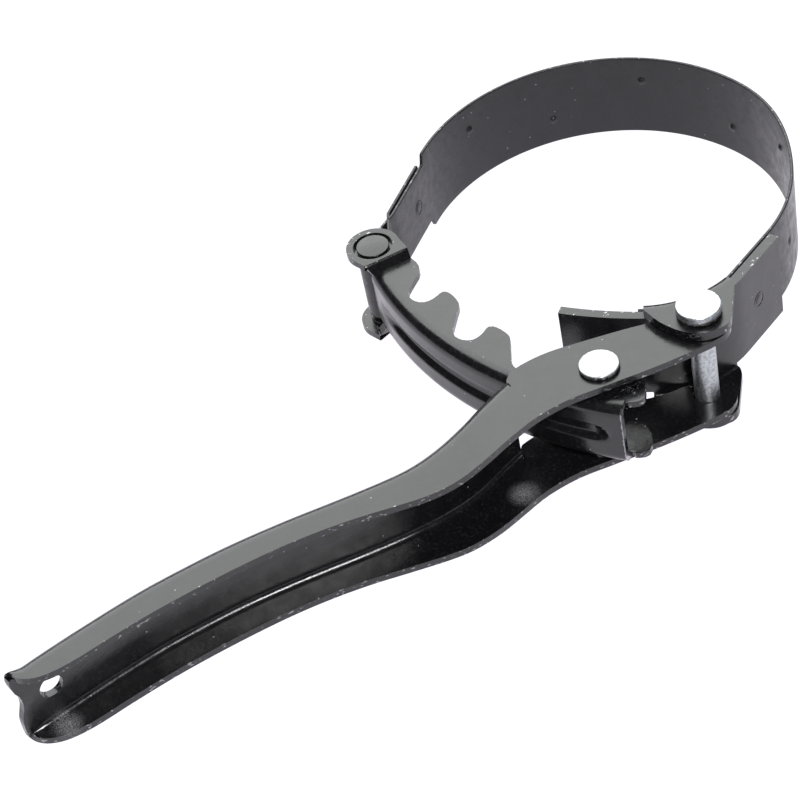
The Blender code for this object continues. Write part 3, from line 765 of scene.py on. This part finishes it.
def inset_line(line, distance):
    """The same open line moved to its left."""
    moved = []
    for i, (x, y) in enumerate(line):
        x0, y0 = line[max(i - 1, 0)]
        x1, y1 = line[min(i + 1, len(line) - 1)]
        length = hypot(x1 - x0, y1 - y0)
        moved.append((x - (y1 - y0) / length * distance, y + (x1 - x0) / length * distance))
    return moved


def make_channel():
    """The rack's web, its bends and its two toothed flanges."""
    body = bmesh.new()
    rows = []
    for angle in spread(RACK_START, RACK_END, 0.75):
        row = []
        for inset, z in rack_section():
            radius = RACK_RADIUS - inset - groove_depth(angle, z)
            row.append(body.verts.new((*polar(RACK_CENTRE, radius, angle), z)))
        rows.append(row)
    grid_faces(body, rows)
    edge = tooth_line()
    inset = inset_line(edge, SUPPORT * 0.5)
    for side, column in ((1, 0), (-1, -1)):
        bend_line = [row[column] for row in rows]
        outer = [body.verts.new((x, y, side * RACK_HALF)) for x, y in edge]
        inner = [body.verts.new((x, y, side * RACK_HALF)) for x, y in inset]
        grid_faces(body, [outer, inner])
        body.faces.new(bend_line + inner)
    bmesh.ops.recalc_face_normals(body, faces=body.faces)
    web = max(body.faces, key=lambda face: -face.calc_center_median().x)
    outward = web.calc_center_median() - Vector((*RACK_CENTRE, 0.0))
    if web.normal.dot(outward) < 0:
        bmesh.ops.reverse_faces(body, faces=body.faces)
    return thicken(link("rack_channel", body), RACK_SHEET)


def make_ear(side):
    """Ear plate with the step down to the flange, on one side."""
    body = bmesh.new()
    rows = []
    for y, z in JOGGLE:
        left = EAR_SIDE[0] + (EAR_HALF - z) * 0.5
        rows.append([body.verts.new((x, y + JOGGLE_AT, side * z))
                     for x in (left, left + SUPPORT, EAR_SIDE[1] - SUPPORT, EAR_SIDE[1])])
    grid_faces(body, rows)
    crown = [polar(HINGE_AT, EAR_ROUND, a) for a in spread(-8.0, 198.0, 8.0)]
    edge = [body.verts.new((x, y, side * EAR_HALF)) for x, y in crown]
    plate = body.faces.new(rows[-1] + edge)
    bmesh.ops.inset_individual(body, faces=[plate], thickness=SUPPORT, use_even_offset=True)
    bmesh.ops.recalc_face_normals(body, faces=body.faces)
    top = max(body.faces, key=lambda face: face.calc_area())
    if top.normal.z * side < 0:
        bmesh.ops.reverse_faces(body, faces=body.faces)
    ear = thicken(link("ear", body), RACK_SHEET)
    bore = HINGE_RADIUS + 0.2
    profile = [(0.0, 6.0), (bore, 6.0), (bore, RECESS_FLOOR), (RECESS_RADIUS, RECESS_FLOOR),
               (RECESS_RADIUS, 16.0), (0.0, 16.0)]
    tool = lathe("recess", profile)
    turn = Matrix.Identity(4) if side > 0 else Matrix.Rotation(pi, 4, "X")
    tool.data.transform(Matrix.Translation((*HINGE_AT, 0.0)) @ turn)
    return cut(ear, tool)


def make_rack():
    channel = make_channel()
    ears = [make_ear(side) for side in (1, -1)]
    rim_points = sharp_edge_points(channel)
    for ear in ears:
        rim_points += sharp_edge_points(ear)
    round_rims(channel, RACK_RIM_ROUND)
    for ear in ears:
        round_rims(ear, EAR_RIM_ROUND)
    rack = join("toothed_rack_channel", [channel, *ears])
    worn = []
    for z in (7.0, 4.0, 1.0, -2.0, -5.0, -7.0):
        worn.append((*polar(RACK_CENTRE, RACK_RADIUS - 1.0, RACK_END), z, 2.4))
    last = NOTCH_FIRST + (NOTCHES - 1) * NOTCH_PITCH
    worn.append((*polar(RACK_CENTRE, 92.0, last + 3.4), RACK_HALF - 0.9, 3.2))
    store_wear(rack, rim_points, worn_at=worn)
    place(rack, "rack", enamel, ("toothed_rack",))


# ---- rivets ------------------------------------------------------------------------------------

def head_rim(centre, radius, height):
    """Points round a rivet head's rim."""
    return [Vector((*polar(centre, radius, angle), height)) for angle in range(0, 360, 4)]


def make_pivot():
    top = [(0.0, 19.0), (3.0, 18.98), (4.4, 18.93), *rounded(PIVOT_HEAD, 16.9, 18.9, 0.35),
           (5.5, 16.5), (5.2, 16.2), (RIVET_RADIUS + 0.1, 16.15)]
    low = [(RIVET_RADIUS + 0.1, -16.15), (4.9, -16.2), (5.0, -17.2), (4.9, -17.9), (4.6, -18.2),
           (4.0, -18.35), (0.0, -18.4)]
    shank = [(RIVET_RADIUS, 12.0), (RIVET_RADIUS, 4.0), (RIVET_RADIUS, -4.0), (RIVET_RADIUS, -12.0)]
    pivot = lathe("pivot_rivet_turned", top + shank + low)
    store_wear(pivot, head_rim((0.0, 0.0), PIVOT_HEAD, 16.6))
    place(pivot, "root", zinc, ("pivot_rivet",))


def make_latch():
    half = [(0.0, 14.72), (2.5, 14.7), (4.1, 14.62), *rounded(LATCH_HEAD, 13.75, 14.55, 0.3),
            (4.85, 13.45), (4.5, 13.35), (RIVET_RADIUS + 0.1, 13.33), (RIVET_RADIUS, 11.0),
            (RIVET_RADIUS, 4.0)]
    latch = lathe("latch_rivet_turned", both_ends(half))
    latch.data.transform(Matrix.Translation((*LATCH_AT, 0.0)))
    store_wear(latch, head_rim(LATCH_AT, LATCH_HEAD, 13.6) + head_rim(LATCH_AT, LATCH_HEAD, -13.6))
    place(latch, "handle_lever", zinc, ("latch_rivet",))


def make_hinge():
    half = [(0.0, EAR_HALF + 0.42), (1.6, EAR_HALF + 0.36), (3.2, EAR_HALF + 0.2),
            *rounded(4.3, RECESS_FLOOR + 0.3, EAR_HALF + 0.1, 0.2),
            (4.2, RECESS_FLOOR + 0.1), (HINGE_RADIUS + 0.05, RECESS_FLOOR),
            (HINGE_RADIUS, RECESS_FLOOR - 0.3), (HINGE_RADIUS, 4.0)]
    hinge = lathe("hinge_rivet_turned", both_ends(half))
    hinge.data.transform(Matrix.Translation((*HINGE_AT, 0.0)))
    store_wear(hinge, [])
    place(hinge, "rack", enamel, ("hinge_rivet",))


def make_clinch(name, point, angle, reach, body_name, material, node):
    """Clinched joint: a low button with a pressed ring round it on both outer faces."""
    half = [(0.0, reach + 0.16), (0.9, reach + 0.15), (1.35, reach + 0.1), (1.6, reach - 0.1),
            (1.7, reach - 0.12), (1.85, reach + 0.1), (2.0, reach + 0.12), (2.12, reach + 0.02),
            (2.15, reach - 0.05), (1.6, reach - 0.3)]
    clinch = lathe(name, both_ends(half), 48)
    turn = Matrix.Rotation(radians(angle), 4, "Z") @ Matrix.Rotation(pi / 2, 4, "Y")
    clinch.data.transform(Matrix.Translation((*point, 0.0)) @ turn)
    store_wear(clinch, [])
    place(clinch, body_name, material, (node,))


def make_clinches():
    start = polar(BAND_CENTRE, BAND_RADIUS, TONGUE_ANGLE)
    on_tongue = along(start, TONGUE_ANGLE + 90.0, TONGUE_RIVET_AT)
    fold_middle = along(on_tongue, TONGUE_ANGLE, LAYER_PITCH / 2)
    make_clinch("tongue_clinch", fold_middle, TONGUE_ANGLE, (LAYER_PITCH + BAND_THICK) / 2,
                "band_free", spring_steel, "tongue_rivet")
    tail_start = polar(BAND_CENTRE, BAND_RADIUS, TAIL_ANGLE)
    on_band = along(tail_start, TAIL_ANGLE - 90.0, BAND_RIVET_AT)
    stack = BAND_THICK + BAND_GAP + PLATE_THICK
    joint_middle = along(on_band, TAIL_ANGLE, (stack - BAND_THICK) / 2)
    make_clinch("tail_clinch", joint_middle, TAIL_ANGLE, stack / 2, "root",
                enamel, "band_rivet")


# ---- finishes ----------------------------------------------------------------------------------

class Shader:
    """Small helper for building a node material around its Principled shader."""

    def __init__(self, name):
        self.material = bpy.data.materials.new(name)
        self.material.use_nodes = True
        self.tree = self.material.node_tree
        self.surface = self.tree.nodes["Principled BSDF"]
        self.place = self.attribute("rest_mm", "Vector")

    def attribute(self, name, output):
        node = self.tree.nodes.new("ShaderNodeAttribute")
        node.attribute_name = name
        return node.outputs[output]

    def feed(self, socket, value):
        if isinstance(value, bpy.types.NodeSocket):
            self.tree.links.new(value, socket)
        else:
            socket.default_value = value

    def noise(self, scale, detail=2.0, stretch=(1.0, 1.0, 1.0)):
        mapping = self.tree.nodes.new("ShaderNodeMapping")
        self.feed(mapping.inputs["Vector"], self.place)
        mapping.inputs["Scale"].default_value = stretch
        node = self.tree.nodes.new("ShaderNodeTexNoise")
        self.feed(node.inputs["Vector"], mapping.outputs["Vector"])
        node.inputs["Scale"].default_value = scale
        node.inputs["Detail"].default_value = detail
        return node.outputs["Fac"]

    def specks(self, scale, size):
        """1 in small scattered dots, 0 elsewhere."""
        node = self.tree.nodes.new("ShaderNodeTexVoronoi")
        self.feed(node.inputs["Vector"], self.place)
        node.inputs["Scale"].default_value = scale
        return self.remap(node.outputs["Distance"], size * 0.5, size, 1.0, 0.0)

    def near(self, spots, reach):
        """1 at each of the spots, fading to 0 at reach."""
        total = 0.0
        for spot in spots:
            node = self.tree.nodes.new("ShaderNodeVectorMath")
            node.operation = "DISTANCE"
            self.feed(node.inputs[0], self.place)
            node.inputs[1].default_value = spot
            total = self.math("ADD", total,
                              self.remap(node.outputs["Value"], 0.0, reach, 1.0, 0.0))
        return total

    def remap(self, value, low, high, to_low, to_high):
        node = self.tree.nodes.new("ShaderNodeMapRange")
        node.interpolation_type = "SMOOTHSTEP"
        self.feed(node.inputs["Value"], value)
        node.inputs["From Min"].default_value = low
        node.inputs["From Max"].default_value = high
        node.inputs["To Min"].default_value = to_low
        node.inputs["To Max"].default_value = to_high
        return node.outputs["Result"]

    def math(self, operation, a, b):
        node = self.tree.nodes.new("ShaderNodeMath")
        node.operation = operation
        self.feed(node.inputs[0], a)
        self.feed(node.inputs[1], b)
        return node.outputs["Value"]

    def mix(self, factor, a, b):
        node = self.tree.nodes.new("ShaderNodeMix")
        node.data_type = "RGBA"
        self.feed(node.inputs["Factor"], factor)
        self.feed(node.inputs["A"], a)
        self.feed(node.inputs["B"], b)
        return node.outputs["Result"]

    def bump(self, height, distance, under=None):
        node = self.tree.nodes.new("ShaderNodeBump")
        node.inputs["Distance"].default_value = distance * MM
        self.feed(node.inputs["Height"], height)
        if under is not None:
            self.feed(node.inputs["Normal"], under)
        return node.outputs["Normal"]

    def finish(self, **sockets):
        for name, value in sockets.items():
            self.feed(self.surface.inputs[name.replace("_", " ")], value)
        return self.material


def rgb(r, g, b):
    """Opaque colour."""
    return (r, g, b, 1.0)


def make_enamel():
    shader = Shader("black_enamel_finish")
    rim = shader.attribute("rim_mm", "Fac")
    worn = shader.attribute("worn", "Fac")
    base = shader.mix(shader.noise(0.35, 4.0), rgb(0.0028, 0.0028, 0.0033),
                      rgb(0.0065, 0.0063, 0.0074))
    fine = shader.remap(shader.noise(1.4, 3.0), 0.52, 0.75, 0.0, 1.0)
    base = shader.mix(fine, base, rgb(0.017, 0.0165, 0.018))
    dust = shader.math("MULTIPLY", shader.specks(0.3, 0.075),
                       shader.remap(shader.noise(0.11, 2.0), 0.45, 0.56, 0.0, 1.0))
    base = shader.mix(dust, base, rgb(0.26, 0.255, 0.26))
    # painted highlight: lighter grey patches at these spots stand in for the glow off the lower
    # flange's curved places; the added roughness further down is the rubbed finish
    patch_breakup = shader.remap(shader.noise(3.0, 4.0), 0.36, 0.68, 0.15, 1.0)
    rub_and_glow = shader.math("MULTIPLY", shader.near(RUB_AND_GLOW_SPOTS, RUB_AND_GLOW_REACH), patch_breakup)
    base = shader.mix(rub_and_glow, base, rgb(0.26, 0.256, 0.27))
    near_rim = shader.remap(rim, 0.12, 0.5, 0.0, 0.3)
    level = shader.math("SUBTRACT", shader.noise(1.1, 6.0, (0.6, 1.0, 1.2)), near_rim)
    level = shader.math("ADD", level, shader.math("MULTIPLY", worn, 0.36))
    chip = shader.remap(level, 0.61, 0.68, 0.0, 1.0)
    base = shader.mix(chip, base, rgb(0.30, 0.30, 0.31))
    roughness = shader.remap(shader.noise(0.22, 5.0), 0.3, 0.7, 0.17, 0.27)
    roughness = shader.math("ADD", roughness, shader.math("MULTIPLY", rub_and_glow, 0.35))
    waves = shader.bump(shader.noise(0.13, 2.0), 0.09)
    grain = shader.bump(shader.noise(1.9, 3.0), 0.028, waves)
    pits = shader.bump(shader.math("SUBTRACT", 1.0, chip), 0.03, grain)
    return shader.finish(Base_Color=base, Metallic=chip, Roughness=roughness, Normal=pits,
                         IOR=1.56)


def make_spring_steel():
    shader = Shader("dark_spring_steel_finish")
    rim = shader.attribute("rim_mm", "Fac")
    base = shader.mix(shader.noise(0.16, 5.0, (1.0, 1.0, 0.5)), rgb(0.0075, 0.0072, 0.0088),
                      rgb(0.0150, 0.0145, 0.0170))
    marks = shader.math("MULTIPLY", shader.specks(0.3, 0.1),
                        shader.remap(shader.noise(0.09, 2.0), 0.48, 0.62, 0.0, 1.0))
    base = shader.mix(marks, base, rgb(0.16, 0.155, 0.17))
    near_rim = shader.remap(rim, 0.15, 0.5, 0.0, 0.3)
    level = shader.math("SUBTRACT", shader.noise(0.9, 6.0), near_rim)
    chip = shader.remap(level, 0.58, 0.68, 0.0, 1.0)
    base = shader.mix(chip, base, rgb(0.20, 0.20, 0.21))
    roughness = shader.remap(shader.noise(0.4, 6.0), 0.3, 0.7, 0.26, 0.4)
    waves = shader.bump(shader.noise(0.07, 1.0), 0.12)
    grain = shader.bump(shader.noise(2.4, 3.0, (1.0, 1.0, 0.35)), 0.014, waves)
    return shader.finish(Base_Color=base, Metallic=chip, Roughness=roughness, Normal=grain,
                         IOR=1.45)


def make_zinc():
    shader = Shader("bright_zinc_finish")
    rim = shader.attribute("rim_mm", "Fac")
    base = shader.mix(shader.remap(shader.noise(1.5, 5.0), 0.36, 0.6, 0.0, 1.0),
                      rgb(0.33, 0.35, 0.36), rgb(0.52, 0.545, 0.555))
    stain = shader.math("MULTIPLY", shader.remap(rim, 0.5, 1.2, 1.0, 0.0),
                        shader.remap(shader.noise(0.9, 6.0), 0.33, 0.5, 0.0, 1.0))
    base = shader.mix(stain, base, rgb(0.022, 0.019, 0.014))
    roughness = shader.remap(shader.noise(1.6, 4.0), 0.3, 0.7, 0.3, 0.5)
    metal = shader.remap(stain, 0.0, 1.0, 1.0, 0.1)
    grain = shader.bump(shader.noise(1.5, 5.0), 0.07)
    return shader.finish(Base_Color=base, Metallic=metal, Roughness=roughness, Normal=grain)


# ---- studio ------------------------------------------------------------------------------------

def direction(azimuth, elevation):
    """Unit vector from the object; azimuth 0 is along +Y and 90 along +X."""
    a = radians(azimuth)
    e = radians(elevation)
    return Vector((sin(a) * cos(e), cos(a) * cos(e), sin(e)))


def add_panel(name, azimuth, elevation, distance, width, height, energy, colour):
    """Soft rectangular light, sizes in metres, facing the object."""
    light = bpy.data.lights.new(name, "AREA")
    light.shape = "RECTANGLE"
    light.size = width
    light.size_y = height
    light.energy = energy
    light.color = colour
    panel = bpy.data.objects.new(name, light)
    bpy.context.scene.collection.objects.link(panel)
    away = direction(azimuth, elevation)
    panel.location = away * distance
    panel.rotation_euler = away.to_track_quat("Z", "Y").to_euler()


def make_floor():
    """Pale floor just under the object."""
    body = bmesh.new()
    bmesh.ops.create_grid(body, x_segments=1, y_segments=1, size=FLOOR_HALF)
    mesh = bpy.data.meshes.new("floor")
    body.to_mesh(mesh)
    body.free()
    floor = bpy.data.objects.new("floor", mesh)
    bpy.context.scene.collection.objects.link(floor)
    floor.location.z = -FLOOR_DROP
    material = bpy.data.materials.new("pale_floor")
    material.use_nodes = True
    surface = material.node_tree.nodes["Principled BSDF"]
    surface.inputs["Base Color"].default_value = (0.12, 0.12, 0.12, 1.0)
    surface.inputs["Roughness"].default_value = 0.9
    surface.inputs["Specular IOR Level"].default_value = 0.0
    surface.inputs["Emission Color"].default_value = (0.97, 0.94, 1.03, 1.0)
    surface.inputs["Emission Strength"].default_value = 1.02
    mesh.materials.append(material)


def make_world():
    """Pale behind the object, dim as a light."""
    world = bpy.data.worlds.new("studio")
    bpy.context.scene.world = world
    world.use_nodes = True
    tree = world.node_tree
    dim = tree.nodes["Background"]
    dim.inputs["Color"].default_value = (0.05, 0.05, 0.055, 1.0)
    pale = tree.nodes.new("ShaderNodeBackground")
    pale.inputs["Color"].default_value = (1.0, 1.0, 1.0, 1.0)
    path = tree.nodes.new("ShaderNodeLightPath")
    mix = tree.nodes.new("ShaderNodeMixShader")
    tree.links.new(path.outputs["Is Camera Ray"], mix.inputs["Fac"])
    tree.links.new(dim.outputs["Background"], mix.inputs[1])
    tree.links.new(pale.outputs["Background"], mix.inputs[2])
    tree.links.new(mix.outputs["Shader"], tree.nodes["World Output"].inputs["Surface"])


def make_camera():
    """Camera at the photo's viewing angle, rolled as the photo is."""
    data = bpy.data.cameras.new("camera")
    data.lens = VIEW_LENS
    data.sensor_width = 36.0
    data.clip_start = 0.01
    data.clip_end = 50.0
    camera = bpy.data.objects.new("camera", data)
    bpy.context.scene.collection.objects.link(camera)
    forward = direction(VIEW_AZIMUTH, -VIEW_ELEVATION)
    level = Vector((cos(radians(VIEW_AZIMUTH)), -sin(radians(VIEW_AZIMUTH)), 0.0))
    upright = level.cross(forward)
    roll = radians(VIEW_ROLL)
    right = level * cos(roll) + upright * sin(roll)
    up = right.cross(forward)
    target = (Vector(VIEW_TARGET) + PIVOT) * MM
    camera.matrix_world = Matrix((
        (right.x, up.x, -forward.x, 0.0), (right.y, up.y, -forward.y, 0.0),
        (right.z, up.z, -forward.z, 0.0), (0.0, 0.0, 0.0, 1.0)))
    camera.location = target - forward * VIEW_DISTANCE * MM
    bpy.context.scene.camera = camera


enamel = make_enamel()
spring_steel = make_spring_steel()
zinc = make_zinc()

make_band()
make_bracket()
make_handle()
make_rack()
make_pivot()
make_latch()
make_hinge()
make_clinches()

make_floor()
make_world()
add_panel("far_panel", VIEW_AZIMUTH, elevation=48.0, distance=1.4, width=1.7, height=1.7,
          energy=33.0, colour=(0.98, 1.0, 0.99))
add_panel("front_panel", VIEW_AZIMUTH + 172.0, elevation=48.0, distance=1.2, width=0.5, height=0.3,
          energy=15.0, colour=(1.0, 1.0, 1.0))
make_camera()
bpy.context.scene.view_settings.view_transform = "Standard"
